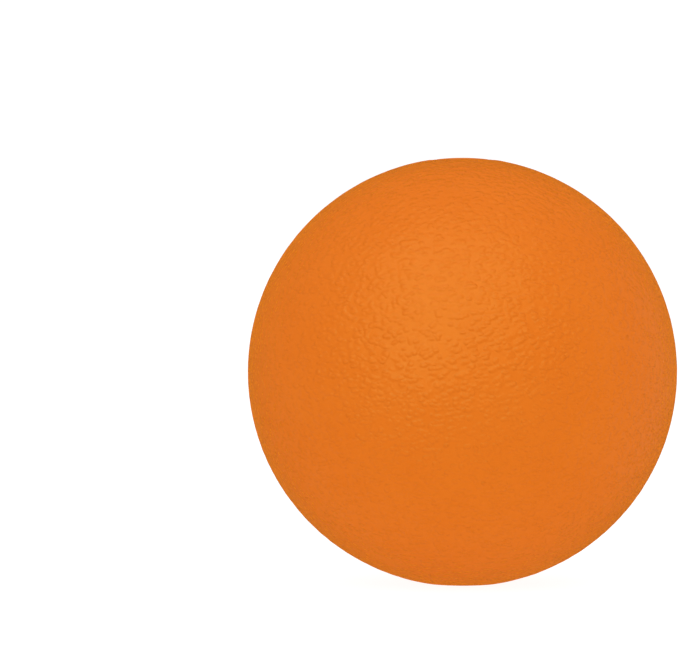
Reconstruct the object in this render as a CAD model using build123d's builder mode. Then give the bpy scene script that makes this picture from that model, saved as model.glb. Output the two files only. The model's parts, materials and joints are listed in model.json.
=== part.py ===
from build123d import *

import math
import os

# Hand therapy ball. A soft rubber skin is moulded in one piece, filled with gel through
# a port at its top, and closed there by a barbed stopper that is glued in.
# Millimetres, +Z up. The origin is the middle of the flat patch that the ball rests on.

# Driving sizes of the ball
BALL_DIAMETER = 65.0
REST_PATCH_DIAMETER = 11.0    # the soft ball settles this flat under its own weight
SKIN_THICKNESS = 2.0

# The collar is a boss on the inside of the skin, round the port
COLLAR_DIAMETER = 15.0
COLLAR_DEPTH = 5.0            # from the top of the ball to the collar's underside
COLLAR_ROOT_ROUND = 0.8
COLLAR_RIM_ROUND = 0.6
COLLAR_ROUND_LIMIT = 0.4      # most of the collar's side that either round may take up

# The stopper
HEAD_DIAMETER = 8.0
HEAD_THICKNESS = 1.6          # at the middle of its crowned top
STEM_DIAMETER = 4.6
BARB_CATCH = 0.6              # how far the barb reaches out past the port's wall
BARB_LENGTH = 2.0
BARB_TIP_DIAMETER = 3.6
MOUTH_ROUND = 0.25            # on both edges of the ring line between stopper and skin

# Clearances
GLUE_GAP = 0.1                # glue line between the stopper and the port
GEL_GAP = 0.1                 # between the set gel and what it lies against

# What follows from the sizes
ball_radius = BALL_DIAMETER / 2
centre_height = math.sqrt(ball_radius**2 - (REST_PATCH_DIAMETER / 2) ** 2)
top_height = centre_height + ball_radius
collar_underside = top_height - COLLAR_DEPTH
head_underside = top_height - HEAD_THICKNESS
port_radius = STEM_DIAMETER / 2 + GLUE_GAP
barb_radius = port_radius + BARB_CATCH
barb_shoulder = collar_underside - GLUE_GAP
barb_tip = barb_shoulder - BARB_LENGTH
FROM_BELOW = (Align.CENTER, Align.CENTER, Align.MIN)


def height_in_ball(radius, from_axis):
    """Height of the upper half of a ball about the same centre, at a distance off its axis."""
    return centre_height + math.sqrt(radius**2 - from_axis**2)


collar_root = height_in_ball(ball_radius - SKIN_THICKNESS, COLLAR_DIAMETER / 2)
collar_round_limit = COLLAR_ROUND_LIMIT * (collar_root - collar_underside)
root_round = min(COLLAR_ROOT_ROUND, collar_round_limit)
rim_round = min(COLLAR_RIM_ROUND, collar_round_limit)


def inner_space(gap):
    """The space inside the skin and below the collar, drawn in by a gap on every side."""
    radius = ball_radius - SKIN_THICKNESS - gap
    floor = SKIN_THICKNESS + gap
    ceiling = collar_underside - gap
    collar_side = COLLAR_DIAMETER / 2 + gap
    floor_edge = (math.sqrt(radius**2 - (centre_height - floor) ** 2), floor)
    root = (collar_side, height_in_ball(radius, collar_side))
    rim = (collar_side, ceiling)
    with BuildPart() as space:
        with BuildSketch(Plane.XZ) as profile:
            with BuildLine():
                Polyline(root, rim, (0, ceiling), (0, floor), floor_edge)
                ThreePointArc(floor_edge, (radius, centre_height), root)
            make_face()
            fillet(profile.vertices().sort_by_distance(root)[0], root_round - gap)
            fillet(profile.vertices().sort_by_distance(rim)[0], rim_round + gap)
        revolve(axis=Axis.Z)
    return space.part


# Skin: a hollow ball, flat where it rests, with the port's stepped bore at its top
with BuildPart() as outer_skin:
    with Locations((0, 0, centre_height)):
        Sphere(ball_radius)
    split(bisect_by=Plane.XY, keep=Keep.TOP)
    add(inner_space(0), mode=Mode.SUBTRACT)
    with Locations((0, 0, top_height)):
        CounterBoreHole(
            radius=port_radius,
            counter_bore_radius=HEAD_DIAMETER / 2 + GLUE_GAP,
            counter_bore_depth=HEAD_THICKNESS + GLUE_GAP,
            depth=COLLAR_DEPTH,
        )
    mouth = outer_skin.edges().filter_by(GeomType.CIRCLE).sort_by(Axis.Z)[-1]
    fillet(mouth, MOUTH_ROUND)
outer_skin.part.label = "outer_skin"

# Stopper: crowned with the ball, stepped to sit on the bore's ledge, and barbed below it
crown_angle = math.degrees(math.asin(HEAD_DIAMETER / BALL_DIAMETER))
with BuildPart() as fill_plug:
    with BuildSketch(Plane.XZ) as stopper_profile:
        with BuildLine():
            crown = CenterArc((0, centre_height), ball_radius, 90 - crown_angle, crown_angle)
            Polyline(
                crown @ 0,
                (HEAD_DIAMETER / 2, head_underside),
                (STEM_DIAMETER / 2, head_underside),
                (STEM_DIAMETER / 2, barb_shoulder),
                (barb_radius, barb_shoulder),
                (BARB_TIP_DIAMETER / 2, barb_tip),
                (0, barb_tip),
                crown @ 1,
            )
        make_face()
        fillet(stopper_profile.vertices().sort_by_distance(crown @ 0)[0], MOUTH_ROUND)
    revolve(axis=Axis.Z)
fill_plug.part.label = "fill_plug"

# Gel: fills the skin and has set round the stopper's barb
with BuildPart() as gel_core:
    add(inner_space(GEL_GAP))
    with Locations((0, 0, barb_tip - GEL_GAP)):
        Cone(
            bottom_radius=BARB_TIP_DIAMETER / 2 + GEL_GAP,
            top_radius=barb_radius + GEL_GAP,
            height=BARB_LENGTH + GEL_GAP,
            align=FROM_BELOW,
            mode=Mode.SUBTRACT,
        )
    with Locations((0, 0, barb_shoulder)):
        Cylinder(barb_radius + GEL_GAP, GLUE_GAP, align=FROM_BELOW, mode=Mode.SUBTRACT)
gel_core.part.label = "gel_core"

os.makedirs("parts", exist_ok=True)
export_step(outer_skin.part, "parts/outer_skin.step")
export_step(fill_plug.part, "parts/fill_plug.step")
export_step(gel_core.part, "parts/gel_core.step")
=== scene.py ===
import json
import math

import bmesh
import bpy
import numpy as np
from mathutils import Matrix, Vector, noise


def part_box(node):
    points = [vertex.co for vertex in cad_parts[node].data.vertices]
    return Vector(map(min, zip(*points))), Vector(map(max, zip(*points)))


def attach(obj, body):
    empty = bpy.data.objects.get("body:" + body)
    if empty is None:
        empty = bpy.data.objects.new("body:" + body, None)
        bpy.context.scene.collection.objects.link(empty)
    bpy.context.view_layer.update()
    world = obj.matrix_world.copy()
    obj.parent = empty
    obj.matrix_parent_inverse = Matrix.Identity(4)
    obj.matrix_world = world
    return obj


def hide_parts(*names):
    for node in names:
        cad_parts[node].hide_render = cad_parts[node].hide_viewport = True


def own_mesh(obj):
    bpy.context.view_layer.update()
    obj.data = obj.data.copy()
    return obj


# A gel-filled hand therapy ball: a grained rubber skin, the gel in it, and the stopper in the
# port at its top. Everything is in metres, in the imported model's own frame, where the ball's
# foot is at z = 0. A size in millimetres is times MM.

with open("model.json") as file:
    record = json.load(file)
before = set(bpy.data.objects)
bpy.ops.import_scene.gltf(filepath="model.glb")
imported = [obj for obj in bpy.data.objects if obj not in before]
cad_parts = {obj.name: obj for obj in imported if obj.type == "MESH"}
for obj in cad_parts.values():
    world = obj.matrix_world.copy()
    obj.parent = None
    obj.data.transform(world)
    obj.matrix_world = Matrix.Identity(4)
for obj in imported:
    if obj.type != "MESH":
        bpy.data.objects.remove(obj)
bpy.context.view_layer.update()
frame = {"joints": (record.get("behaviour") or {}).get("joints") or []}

MM = 0.001

# ---------------------------------------------------------------- what the frame says
skin_low, skin_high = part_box("outer_skin")
plug_low, plug_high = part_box("fill_plug")
gel_low, gel_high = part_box("gel_core")
squeeze = next(joint for joint in frame["joints"] if joint["name"] == "squeeze")

BALL_RADIUS = (skin_high.x - skin_low.x) / 2
TOP = plug_high.z
CENTRE = Vector((0, 0, TOP - BALL_RADIUS))
HEAD_RADIUS = (plug_high.x - plug_low.x) / 2
STOPPER_TIP = plug_low.z
SQUEEZE_KEEP = 1 - max(squeeze["range_m"]) / TOP

# ---------------------------------------------------------------- sizes that the boxes don't give
GLUE_GAP = 0.1 * MM              # between the stopper and the rubber round it
GEL_GAP = 0.1 * MM               # between the gel and what it lies against
SKIN_THICKNESS = BALL_RADIUS - (gel_high.x - gel_low.x) / 2 - GEL_GAP

HEAD_THICKNESS = 1.6 * MM
HEAD_UNDERSIDE = TOP - HEAD_THICKNESS
STEM_RADIUS = 2.3 * MM
BORE_RADIUS = HEAD_RADIUS + GLUE_GAP
PORT_RADIUS = STEM_RADIUS + GLUE_GAP
BARB_CATCH = 0.6 * MM            # how far the barb reaches out past the port's wall
BARB_RADIUS = PORT_RADIUS + BARB_CATCH
BARB_TIP_RADIUS = 1.8 * MM
BARB_LENGTH = 2.0 * MM
BARB_SHOULDER = STOPPER_TIP + BARB_LENGTH
EDGE_ROUND = 0.15 * MM           # under the stopper's head
DIMPLE_RADIUS = 0.8 * MM         # left by the mould in the middle of the stopper's head
DIMPLE_DEPTH = 0.12 * MM
DIMPLE_POWER = 4                 # the higher it is, the flatter the dimple's floor

COLLAR_UNDERSIDE = BARB_SHOULDER + GLUE_GAP
COLLAR_RADIUS = 7.5 * MM
COLLAR_ROOT_ROUND = 0.8 * MM
COLLAR_RIM_ROUND = 0.6 * MM
MOUTH_ROUND = 0.25 * MM          # on both edges of the ring line between stopper and skin
MOUTH_SHOULDER = BORE_RADIUS + 1.5 * MOUTH_ROUND   # where the ball's outside turns into the lip


def below_squeezed(height):
    """The height at which rubber or gel has to start, to lie just below this height of the
    stopper when the ball is squeezed: they flatten then, and the stopper doesn't."""
    return TOP - (TOP - height) / SQUEEZE_KEEP - GLUE_GAP


# ---------------------------------------------------------------- the skin's finish
GRAIN_HEIGHT = 0.055 * MM
GRAIN_PITCH = 1.9 * MM
GRAIN_STRETCH = 1.35             # the pebbles are this much wider than high
GRAIN_WANDER = 0.45              # how far the pebbles' pattern is warped, in pitches
WANDER_RATE = 0.6                # waves per pitch, as the other rates
WANDER_SEED = 1                  # without a seed, noise_vector goes by the clock
PEBBLE_STEEPNESS = 1.8
PEBBLE_SHARE = 0.65              # of the grain's height
LUMP_SHARE = 0.6                 # from lumps of about a pebble's size
LUMP_RATE = 1.1
SWELL_SHARE = 0.25               # from low swells that take in several pebbles
SWELL_RATE = 0.35

SEAM_WIDTH = 0.17 * MM           # the mould's parting line, a low ridge all round at y = 0
SEAM_HEIGHT = 0.07 * MM
SEAM_CALM = 0.6                  # how much flatter the grain is beside the parting line
SEAM_CALM_REACH = 3 * SEAM_WIDTH
MOUTH_PLAIN = BORE_RADIUS + MOUTH_ROUND          # the finish starts this far from the axis,
MOUTH_FINISHED = BORE_RADIUS + 4 * MOUTH_ROUND   # and is whole from here on
FOOT_FADE = 1.2 * MM             # the finish fades in up to this far above the foot
FOOT_SOFTNESS = 0.04 * MM

# ---------------------------------------------------------------- mesh resolution
BALL_DIVISIONS = 120             # squares along each edge of the cube that is blown up to a ball
JOIN_RADIUS = 5.2 * MM           # where the ball's squares hand over to rings round the port
SEAM_CROWD = 0.62                # how far rows are drawn in towards the parting line
SEAM_REACH = math.radians(1.8)
FINE = 0.3 * MM                  # ring spacing on what shows
COARSE = 1.2 * MM                # ring spacing inside
GEL_SIDES = 96
STOPPER_SIDES = 128
FLOOR_SIDES = 64
ON_AXIS = 0.01 * MM              # an outline point this near to the axis is on it
SAME_DIGITS = 7                  # points of the unit ball that agree this far are one


# ---------------------------------------------------------------- mesh helpers
def new_object(name, points, faces):
    """A smooth mesh object of these points and faces, with its faces turned outwards."""
    mesh = bpy.data.meshes.new(name)
    mesh.from_pydata(points, [], faces)
    made = bmesh.new()
    made.from_mesh(mesh)
    bmesh.ops.recalc_face_normals(made, faces=made.faces)
    made.to_mesh(mesh)
    made.free()
    mesh.shade_smooth()
    piece = bpy.data.objects.new(name, mesh)
    bpy.context.scene.collection.objects.link(piece)
    return piece


def rounded(before, corner, after, radius, steps=5):
    """Points of the arc that rounds a corner of an outline of (from axis, height) pairs."""
    corner = Vector(corner)
    to_before = (Vector(before) - corner).normalized()
    to_after = (Vector(after) - corner).normalized()
    half = to_before.angle(to_after) / 2
    centre = corner + (to_before + to_after).normalized() * radius / math.sin(half)
    start = corner + to_before * radius / math.tan(half) - centre
    end = corner + to_after * radius / math.tan(half) - centre
    sweep = start.angle(end)
    points = []
    for step in range(steps + 1):
        share = step / steps
        along = start * math.sin((1 - share) * sweep) + end * math.sin(share * sweep)
        points.append(tuple(centre + along / math.sin(sweep)))
    return points


def refined(outline, longest):
    """The outline with points added, so that no step of it is longer than this."""
    points = [outline[0]]
    for start, end in zip(outline, outline[1:]):
        count = max(1, math.ceil(math.dist(start, end) / longest))
        for i in range(1, count + 1):
            points.append(tuple(s + (e - s) * i / count for s, e in zip(start, end)))
    return points


def ball_height(radius, from_axis):
    """Height of the upper half of a ball about the same centre, at a distance off its axis."""
    return CENTRE.z + math.sqrt(radius**2 - from_axis**2)


def ball_arc(radius, start, end, longest):
    """Outline points on a ball about the same centre, between two angles down from its top."""
    count = max(2, math.ceil(radius * abs(end - start) / longest))
    angles = [start + (end - start) * i / count for i in range(count + 1)]
    return [(radius * math.sin(a), CENTRE.z + radius * math.cos(a)) for a in angles]


def ring_faces(first, second):
    """Squares between two rings of point numbers."""
    count = len(first)
    return [
        (first[i], first[(i + 1) % count], second[(i + 1) % count], second[i])
        for i in range(count)
    ]


def fan_faces(ring, hub):
    """Triangles from a ring of point numbers to one point."""
    return [(ring[i], ring[(i + 1) % len(ring)], hub) for i in range(len(ring))]


def turned(outline, angles, points, faces, ring=None):
    """Adds the rings of an outline turned about Z, and closes it where it meets the axis.

    It goes on from a ring of point numbers if one is given.
    """
    hub = None
    for from_axis, height in outline:
        start = len(points)
        if from_axis < ON_AXIS:
            points.append((0, 0, height))
            if ring:
                faces += fan_faces(ring, start)
            ring, hub = None, start
            continue
        points += [(from_axis * math.cos(a), from_axis * math.sin(a), height) for a in angles]
        new_ring = list(range(start, len(points)))
        if hub is not None:
            faces += fan_faces(new_ring, hub)
        elif ring:
            faces += ring_faces(ring, new_ring)
        ring, hub = new_ring, None


def evenly_spaced(count):
    """This many angles, once round."""
    return [math.tau * i / count for i in range(count)]


def smooth_step(value, low, high):
    """0 up to low and 1 from high on, with a smooth slope between them."""
    t = min(1, max(0, (value - low) / (high - low)))
    return t * t * (3 - 2 * t)


# ---------------------------------------------------------------- the skin
def blown_cube(divisions):
    """Points and squares of a cube blown up to a unit ball, rows crowded at the parting line."""
    plain = np.linspace(-1, 1, divisions + 1) * math.pi / 4
    crowded = plain * (1 - SEAM_CROWD * np.exp(-((plain / SEAM_REACH) ** 2)))
    points, faces = [], []
    numbers = np.arange((divisions + 1) ** 2).reshape(divisions + 1, divisions + 1)
    squares = np.stack(
        [numbers[:-1, :-1], numbers[1:, :-1], numbers[1:, 1:], numbers[:-1, 1:]], axis=-1
    ).reshape(-1, 4)
    for axis in range(3):
        u_axis, v_axis = (axis + 1) % 3, (axis + 2) % 3
        u_row = crowded if u_axis == 1 else plain
        v_row = crowded if v_axis == 1 else plain
        u, v = np.meshgrid(np.tan(u_row), np.tan(v_row), indexing="ij")
        for side in (-1, 1):
            face = np.empty((u.size, 3))
            face[:, axis], face[:, u_axis], face[:, v_axis] = side, u.ravel(), v.ravel()
            faces.append(squares + sum(len(p) for p in points))
            points.append(face / np.linalg.norm(face, axis=1, keepdims=True))
    points, faces = np.concatenate(points), np.concatenate(faces)
    _, first, same = np.unique(
        np.round(points, SAME_DIGITS), axis=0, return_index=True, return_inverse=True
    )
    return points[first], same.reshape(-1)[faces]


def open_ball():
    """The ball's outside with its top cut open: points, faces, and the cut ring in turning
    order."""
    points, faces = blown_cube(BALL_DIVISIONS)
    made = bmesh.new()
    verts = [made.verts.new(p) for p in points * BALL_RADIUS + np.array(CENTRE)]
    for face in faces:
        made.faces.new([verts[i] for i in face])
    bmesh.ops.bisect_plane(
        made,
        geom=made.verts[:] + made.edges[:] + made.faces[:],
        plane_co=(0, 0, ball_height(BALL_RADIUS, JOIN_RADIUS)),
        plane_no=(0, 0, 1),
        clear_outer=True,
    )
    rim = [v for v in made.verts if v.is_boundary]
    bmesh.ops.remove_doubles(made, verts=rim, dist=FINE / 2)
    rim = [v for v in made.verts if v.is_boundary]
    rim.sort(key=lambda v: math.atan2(v.co.y, v.co.x))
    made.verts.index_update()
    points = [tuple(v.co) for v in made.verts]
    faces = [tuple(v.index for v in f.verts) for f in made.faces]
    rim = [v.index for v in rim]
    made.free()
    return points, faces, rim


def inside_outline(gap):
    """Outline of the space in the skin, drawn in by a gap, from the collar's underside down."""
    radius = BALL_RADIUS - SKIN_THICKNESS - gap
    side = COLLAR_RADIUS + gap
    ceiling = COLLAR_UNDERSIDE - gap
    floor = SKIN_THICKNESS + gap
    root_angle = math.asin(side / radius)
    floor_angle = math.acos((floor - CENTRE.z) / radius)
    arc = ball_arc(radius, root_angle, floor_angle, COARSE)
    root_round = rounded((side, ceiling), arc[0], arc[1], COLLAR_ROOT_ROUND - gap)
    rim_round = rounded((0, ceiling), (side, ceiling), arc[0], COLLAR_RIM_ROUND + gap)
    below = [p for p in arc if p[1] < root_round[-1][1] - FINE]
    return rim_round + root_round + below + [(0, floor)]


def grain(place):
    """Height of the skin's coarse pebble grain at a place, from about -1 to 1."""
    p = place / GRAIN_PITCH
    p = Vector((p.x, p.y, p.z * GRAIN_STRETCH))
    p = p + GRAIN_WANDER * noise.noise_vector(p * WANDER_RATE)
    near, second = noise.voronoi(p)[0][:2]
    pebble = min(1, (second - near) * PEBBLE_STEEPNESS) - 0.5
    lump = noise.noise(p * LUMP_RATE)
    swell = noise.noise(p * SWELL_RATE)
    return PEBBLE_SHARE * pebble + LUMP_SHARE * lump + SWELL_SHARE * swell


def finished_outside(point):
    """A point of the ball's outside with its grain and parting line, its foot pressed flat."""
    place = Vector(point)
    outward = (place - CENTRE).normalized()
    from_axis = math.hypot(place.x, place.y)
    clear_of_mouth = 1.0
    if place.z > CENTRE.z:
        clear_of_mouth = smooth_step(from_axis, MOUTH_PLAIN, MOUTH_FINISHED)
    clear_of_foot = smooth_step(place.z, 0, FOOT_FADE)
    worn = 1 - SEAM_CALM * math.exp(-((place.y / SEAM_CALM_REACH) ** 2))
    height = GRAIN_HEIGHT * grain(place) * worn * clear_of_foot
    height += SEAM_HEIGHT * math.exp(-((place.y / SEAM_WIDTH) ** 2)) * clear_of_foot
    place += outward * height * clear_of_mouth
    place.z = (place.z + math.hypot(place.z, FOOT_SOFTNESS)) / 2
    return tuple(place)


def make_skin():
    """The skin: the ball's outside, the port's stepped bore, and the space inside."""
    noise.seed_set(WANDER_SEED)
    points, faces, rim = open_ball()
    angles = [math.atan2(points[i][1], points[i][0]) for i in rim]
    mouth = (BORE_RADIUS, ball_height(BALL_RADIUS, BORE_RADIUS))
    seat = below_squeezed(HEAD_UNDERSIDE)
    shoulder = ball_arc(
        BALL_RADIUS,
        math.asin(JOIN_RADIUS / BALL_RADIUS),
        math.asin(MOUTH_SHOULDER / BALL_RADIUS),
        FINE,
    )
    lip = rounded(shoulder[-1], mouth, (BORE_RADIUS, seat), MOUTH_ROUND)
    outside_rings = shoulder[1:] + lip[:-1]
    bore = [
        lip[-1],
        (BORE_RADIUS, seat),
        (PORT_RADIUS, seat),
        (PORT_RADIUS, COLLAR_UNDERSIDE),
    ]
    turned(outside_rings, angles, points, faces, rim)
    outside_count = len(points)
    last_ring = list(range(outside_count - len(angles), outside_count))
    inside = refined(bore + inside_outline(0), COARSE)
    turned(inside, angles, points, faces, last_ring)
    points[:outside_count] = [finished_outside(p) for p in points[:outside_count]]
    return new_object("ball_skin", points, faces)


# ---------------------------------------------------------------- the gel and the stopper
def make_gel():
    """The set gel: it fills the skin and has set round the stopper's barb."""
    pocket_floor = below_squeezed(STOPPER_TIP)
    pocket = [
        (0, pocket_floor),
        (BARB_TIP_RADIUS + GEL_GAP, pocket_floor),
        (BARB_RADIUS + GEL_GAP, below_squeezed(BARB_SHOULDER)),
        (BARB_RADIUS + GEL_GAP, COLLAR_UNDERSIDE - GEL_GAP),
    ]
    outline = refined(pocket + inside_outline(GEL_GAP), COARSE)
    points, faces = [], []
    turned(outline, evenly_spaced(GEL_SIDES), points, faces)
    return new_object("gel_filling", points, faces)


def make_stopper():
    """The stopper: crowned with the ball, its rim rounded, a moulding dimple in its middle."""
    rim_angle = math.asin(HEAD_RADIUS / BALL_RADIUS)
    crown = [
        (r, z - DIMPLE_DEPTH * math.exp(-((r / DIMPLE_RADIUS) ** DIMPLE_POWER)))
        for r, z in ball_arc(BALL_RADIUS, 0, rim_angle, FINE / 2)
    ]
    head_edge = (HEAD_RADIUS, HEAD_UNDERSIDE)
    rim = rounded(crown[-2], crown[-1], head_edge, MOUTH_ROUND)
    crown = [p for p in crown if p[0] < rim[0][0] - FINE / 4]
    under = rounded((HEAD_RADIUS, TOP), head_edge, (0, HEAD_UNDERSIDE), EDGE_ROUND)
    neck = [
        (STEM_RADIUS, HEAD_UNDERSIDE),
        (STEM_RADIUS, BARB_SHOULDER),
        (BARB_RADIUS, BARB_SHOULDER),
        (BARB_TIP_RADIUS, STOPPER_TIP),
        (0, STOPPER_TIP),
    ]
    outline = refined(crown + rim + under + neck, FINE)
    points, faces = [], []
    turned(outline, evenly_spaced(STOPPER_SIDES), points, faces)
    return new_object("port_stopper", points, faces)


# ---------------------------------------------------------------- materials
ORANGE = (0.745, 0.166, 0.0112)
STOPPER_ORANGE = (0.72, 0.15, 0.010)
DEEPER = (0.98, 0.95, 0.93)      # the rubber's colour in its deeper patches, times this
LIGHTER = (1.01, 1.04, 1.06)     # and in its lighter ones
PAINTED_CREASE_SHADE = 0.99              # painted shade: how much darker the creases between pebbles are painted
PATCH_PITCH = 9 * MM             # slow changes of colour and gloss
PATCH_GLOSS = 0.05               # how far the roughness strays either way
SKIN_ROUGHNESS = 0.25
STOPPER_ROUGHNESS = 0.38
SPECULAR = 0.12
SPECULAR_TINT = (0.5, 0.92, 0.26)
SHEEN = 0.9
SHEEN_ROUGHNESS = 0.3
SHEEN_TINT = (1.0, 0.3, 0.01)

SKIN_GRAIN_DEPTH = 0.13 * MM
STOPPER_GRAIN_DEPTH = 0.015 * MM
FINE_PITCH = 0.95 * MM           # pebbles that are too small for the mesh
FINE_WARP_PITCH = 2 * FINE_PITCH
FINE_SMOOTHNESS = 0.5
PEBBLE_CROWN = 0.15              # a pebble's flat top and its foot reach this far out,
PEBBLE_FOOT = 0.7                # as shares of the pitch
PORE_PITCH = 0.5 * MM
PORE_DEPTH = 0.4                 # as a share of the pebbles' height
PORE_ROUGHNESS = 0.6
PIMPLE_PITCH = 2.0 * MM
PIMPLE_SHARE = 0.6               # of the places at that pitch that have one
PIMPLE_REACH = 0.22              # a pimple's radius, as a share of that pitch
PIMPLE_HEIGHT = 0.6              # as a share of the pebbles' height
PIMPLE_POLISH = 0.15             # how much less rough handling has left them

GEL_AMBER = (0.9, 0.42, 0.1)
GEL_HONEY = (1.0, 0.6, 0.22)
GEL_ROUGHNESS = 0.18
GEL_IOR = 1.42
GEL_CLEARNESS = 0.55
RIPPLE_PITCH = 2.5 * MM
RIPPLE_DEPTH = 0.05 * MM
RIPPLE_STRENGTH = 0.6


class Nodes:
    """The node tree of a material or world. Inputs and outputs go by their name or number."""

    def __init__(self, owner):
        owner.use_nodes = True
        self.tree = owner.node_tree

    def feed(self, node, inputs):
        """Sets a node's inputs to values, or links them to other nodes' outputs."""
        for socket, value in inputs.items():
            if isinstance(value, bpy.types.NodeSocket):
                self.tree.links.new(value, node.inputs[socket])
            else:
                node.inputs[socket].default_value = value

    def add(self, kind, inputs=None, **settings):
        """Adds a node and returns its outputs."""
        node = self.tree.nodes.new("ShaderNode" + kind)
        for name, value in settings.items():
            setattr(node, name, value)
        self.feed(node, inputs or {})
        return node.outputs

    def maths(self, operation, *values):
        """The result of a Math node."""
        return self.add("Math", dict(enumerate(values)), operation=operation)[0]

    def clouds(self, place, pitch, detail):
        """Noise from 0 to 1, whose largest features are about this far apart."""
        inputs = {"Vector": place, "Scale": 1 / pitch, "Detail": detail}
        return self.add("TexNoise", inputs)["Fac"]

    def between(self, share, low, high):
        """A number from low to high, as the share goes from 0 to 1."""
        return self.add("MapRange", {"Value": share, "To Min": low, "To Max": high})["Result"]

    def dome(self, distance, crown, foot):
        """1 up to the crown's distance and 0 from the foot's on, with a smooth slope."""
        inputs = {
            "Value": distance,
            "From Min": crown,
            "From Max": foot,
            "To Min": 1.0,
            "To Max": 0.0,
        }
        return self.add("MapRange", inputs, interpolation_type="SMOOTHSTEP")["Result"]

    def mixed(self, share, first, second):
        """The first colour where the share is 0, and the second where it is 1."""
        return self.add("Mix", {0: share, 6: first, 7: second}, data_type="RGBA")[2]

    def bump(self, height, depth, strength):
        """The normal of a surface with these heights, from 0 to 1 as deep as this."""
        inputs = {"Height": height, "Distance": depth, "Strength": strength}
        return self.add("Bump", inputs)["Normal"]


def rgba(colour, tone=(1, 1, 1)):
    """A colour times a tone, as a colour socket takes it."""
    return tuple(c * t for c, t in zip(colour, tone)) + (1,)


def new_material(name, build):
    """A material whose Principled shader gets the inputs that build works out."""
    material = bpy.data.materials.new(name)
    nodes = Nodes(material)
    place = nodes.add("TexCoord")["Object"]
    nodes.feed(nodes.tree.nodes["Principled BSDF"], build(nodes, place))
    return material


def pebbled(nodes, place):
    """The rubber's fine grain: its pebbles and its pimples, each from 0 to 1, and its height."""
    stretched = nodes.add("Mapping", {"Vector": place, "Scale": (1, 1, GRAIN_STRETCH)})["Vector"]
    warp_inputs = {"Vector": stretched, "Scale": 1 / FINE_WARP_PITCH, "Detail": 2.0}
    warp = nodes.add("TexNoise", warp_inputs)["Color"]
    warped = nodes.add(
        "VectorMath", {0: warp, 1: (FINE_PITCH,) * 3, 2: stretched}, operation="MULTIPLY_ADD"
    )["Vector"]
    cell_inputs = {"Vector": warped, "Scale": 1 / FINE_PITCH, "Smoothness": FINE_SMOOTHNESS}
    cells = nodes.add("TexVoronoi", cell_inputs, feature="SMOOTH_F1")
    pebbles = nodes.dome(cells["Distance"], PEBBLE_CROWN, PEBBLE_FOOT)

    pore_inputs = {
        "Vector": place,
        "Scale": 1 / PORE_PITCH,
        "Detail": 3.0,
        "Roughness": PORE_ROUGHNESS,
    }
    pores = nodes.add("TexNoise", pore_inputs)["Fac"]

    spots = nodes.add("TexVoronoi", {"Vector": place, "Scale": 1 / PIMPLE_PITCH})
    chosen = nodes.maths("GREATER_THAN", spots["Color"], 1 - PIMPLE_SHARE)
    domed = nodes.dome(spots["Distance"], 0.0, PIMPLE_REACH)
    pimples = nodes.maths("MULTIPLY", chosen, domed)

    height = nodes.maths("MULTIPLY_ADD", pores, PORE_DEPTH, pebbles)
    height = nodes.maths("MULTIPLY_ADD", pimples, PIMPLE_HEIGHT, height)
    return pebbles, pimples, height


def moulded_rubber(name, colour, roughness, grain_depth):
    """Moulded rubber: pebbled, with painted shade in the creases, uneven in colour and gloss."""

    def build(nodes, place):
        pebbles, pimples, height = pebbled(nodes, place)
        patches = nodes.clouds(place, PATCH_PITCH, 3.0)
        broad = nodes.mixed(patches, rgba(colour, DEEPER), rgba(colour, LIGHTER))
        # painted shade: the colour is made darker in the creases between pebbles
        painted_crease_shade = nodes.between(pebbles, PAINTED_CREASE_SHADE, 1.0)
        shaded = nodes.add("VectorMath", {0: broad, "Scale": painted_crease_shade}, operation="SCALE")
        gloss = nodes.between(patches, roughness - PATCH_GLOSS, roughness + PATCH_GLOSS)
        return {
            "Base Color": shaded["Vector"],
            "Roughness": nodes.maths("MULTIPLY_ADD", pimples, -PIMPLE_POLISH, gloss),
            "Normal": nodes.bump(height, grain_depth, 1.0),
            "Specular IOR Level": SPECULAR,
            "Specular Tint": rgba(SPECULAR_TINT),
            "Sheen Weight": SHEEN,
            "Sheen Roughness": SHEEN_ROUGHNESS,
            "Sheen Tint": rgba(SHEEN_TINT),
        }

    return new_material(name, build)


def set_gel(name):
    """Clear amber gel, faintly clouded and rippled."""

    def build(nodes, place):
        cloud = nodes.clouds(place, PATCH_PITCH, 4.0)
        ripples = nodes.clouds(place, RIPPLE_PITCH, 1.0)
        return {
            "Base Color": nodes.mixed(cloud, rgba(GEL_AMBER), rgba(GEL_HONEY)),
            "Normal": nodes.bump(ripples, RIPPLE_DEPTH, RIPPLE_STRENGTH),
            "Roughness": GEL_ROUGHNESS,
            "IOR": GEL_IOR,
            "Transmission Weight": GEL_CLEARNESS,
        }

    return new_material(name, build)


# ---------------------------------------------------------------- put the ball together
skin = make_skin()
skin_rubber = moulded_rubber("orange_skin_rubber", ORANGE, SKIN_ROUGHNESS, SKIN_GRAIN_DEPTH)
skin.data.materials.append(skin_rubber)
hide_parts("outer_skin")
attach(skin, "ball")
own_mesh(skin)

gel = make_gel()
gel.data.materials.append(set_gel("amber_gel"))
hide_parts("gel_core")
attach(gel, "ball")
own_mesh(gel)

stopper = make_stopper()
stopper_rubber = moulded_rubber(
    "stopper_rubber", STOPPER_ORANGE, STOPPER_ROUGHNESS, STOPPER_GRAIN_DEPTH
)
stopper.data.materials.append(stopper_rubber)
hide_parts("fill_plug")
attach(stopper, "top_pole")


# ---------------------------------------------------------------- floor and light
WHITE = (1, 1, 1)
FLOOR_DROP = 0.02 * MM           # how far the floor lies below the ball's foot
FLOOR_RADII = (0, 0.1, 0.3, 1, 3, 8)
FLOOR_TONES = (0.18, 0.22)
FLOOR_SPECK_PITCH = 1 / 30
FLOOR_ROUGHNESS = 0.9
FLOOR_GLOW = 0.93
WORLD_LIGHT = 0.85
WORLD_GLOSS = 0.03
WORLD_SEEN = 1.05                # straight from the camera: plain white
KEY_DIRECTION = (-0.15, -0.78, 0.61)


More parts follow.
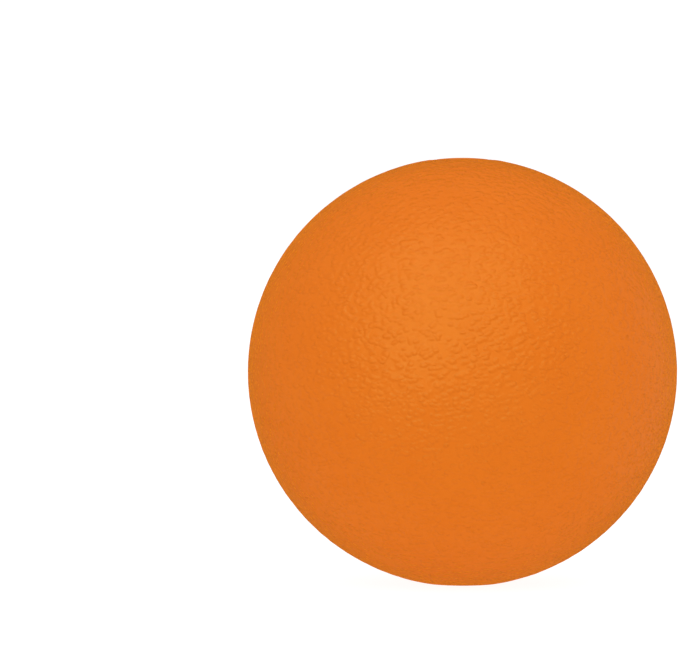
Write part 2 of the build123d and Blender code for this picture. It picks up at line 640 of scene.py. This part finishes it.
def pale_floor(name):
    """A faintly speckled pale floor that glows, so that it comes out nearly white."""

    def build(nodes, place):
        specks = nodes.clouds(place, FLOOR_SPECK_PITCH, 2.0)
        return {
            "Base Color": nodes.between(specks, *FLOOR_TONES),
            "Roughness": FLOOR_ROUGHNESS,
            "Specular IOR Level": 0.0,
            "Emission Color": rgba(WHITE),
            "Emission Strength": FLOOR_GLOW,
        }

    return new_material(name, build)


def make_floor():
    """A wide studio floor. It doesn't show in the ball's gloss."""
    points, faces = [], []
    outline = [(radius, -FLOOR_DROP) for radius in FLOOR_RADII]
    turned(outline, evenly_spaced(FLOOR_SIDES), points, faces)
    floor = new_object("studio_floor", points, faces)
    floor.data.materials.append(pale_floor("pale_floor"))
    floor.visible_glossy = False


def make_world():
    """An even white studio. Gloss sees it nearly black, so only softboxes shine on rubber."""
    world = bpy.data.worlds.new("studio")
    nodes = Nodes(world)
    rays = nodes.add("LightPath")
    strength = nodes.add("Mix", {0: rays["Is Glossy Ray"], 2: WORLD_LIGHT, 3: WORLD_GLOSS})[0]
    strength = nodes.add("Mix", {0: rays["Is Camera Ray"], 2: strength, 3: WORLD_SEEN})[0]
    background = nodes.tree.nodes["Background"]
    nodes.feed(background, {"Color": rgba(WHITE), "Strength": strength})
    bpy.context.scene.world = world


def add_softbox(name, direction, distance, size, power, gloss_only=True):
    """A round softbox that faces the ball from a direction. It shows in gloss only, or it
    lights everything but gloss."""
    light = bpy.data.lights.new(name, "AREA")
    light.shape = "DISK"
    light.size = size
    light.energy = power
    lamp = bpy.data.objects.new(name, light)
    lamp.location = CENTRE + Vector(direction).normalized() * distance
    lamp.rotation_euler = (CENTRE - lamp.location).to_track_quat("-Z", "Y").to_euler()
    lamp.visible_glossy = gloss_only
    lamp.visible_diffuse = not gloss_only
    bpy.context.scene.collection.objects.link(lamp)


make_floor()
make_world()
add_softbox("key_core", KEY_DIRECTION, distance=0.5, size=0.5, power=2.2)
add_softbox("key_spread", KEY_DIRECTION, distance=0.5, size=0.95, power=8.0)
add_softbox("low_softbox", (-0.48, -0.87, 0.12), distance=0.5, size=0.18, power=0.35)
add_softbox("top_softbox", (0, -0.3, 1), distance=0.9, size=1.6, power=4.2, gloss_only=False)
add_softbox("side_softbox", (0.97, 0.26, 0), distance=0.6, size=0.85, power=0.4)
bpy.context.scene.view_settings.view_transform = "Standard"

# ---------------------------------------------------------------- camera
# It looks at the ball from a little above its middle. The ball stands right of the middle of
# the picture and a little low, at these shares of the picture's width.
CAMERA_DISTANCE = 0.6
CAMERA_RISE = math.radians(2)
SENSOR_WIDTH = 36                # in millimetres, as the lens
BALL_SHARE = 0.6303              # the ball's width
BALL_RIGHT = 0.1806              # its centre, right of the picture's centre
BALL_DOWN = 0.0625               # its centre, below the picture's centre
picture_width = 2 * BALL_RADIUS / BALL_SHARE

camera = bpy.data.objects.new("camera", bpy.data.cameras.new("camera"))
camera.data.sensor_width = SENSOR_WIDTH
camera.data.lens = SENSOR_WIDTH * CAMERA_DISTANCE / picture_width
towards_camera = Vector((0, -math.cos(CAMERA_RISE), math.sin(CAMERA_RISE)))
camera.location = CENTRE + CAMERA_DISTANCE * towards_camera
straight = (CENTRE - camera.location).to_track_quat("-Z", "Y")
right, up = straight @ Vector((1, 0, 0)), straight @ Vector((0, 1, 0))
target = CENTRE + picture_width * (BALL_DOWN * up - BALL_RIGHT * right)
camera.rotation_euler = (target - camera.location).to_track_quat("-Z", "Y").to_euler()
bpy.context.scene.collection.objects.link(camera)
bpy.context.scene.camera = camera
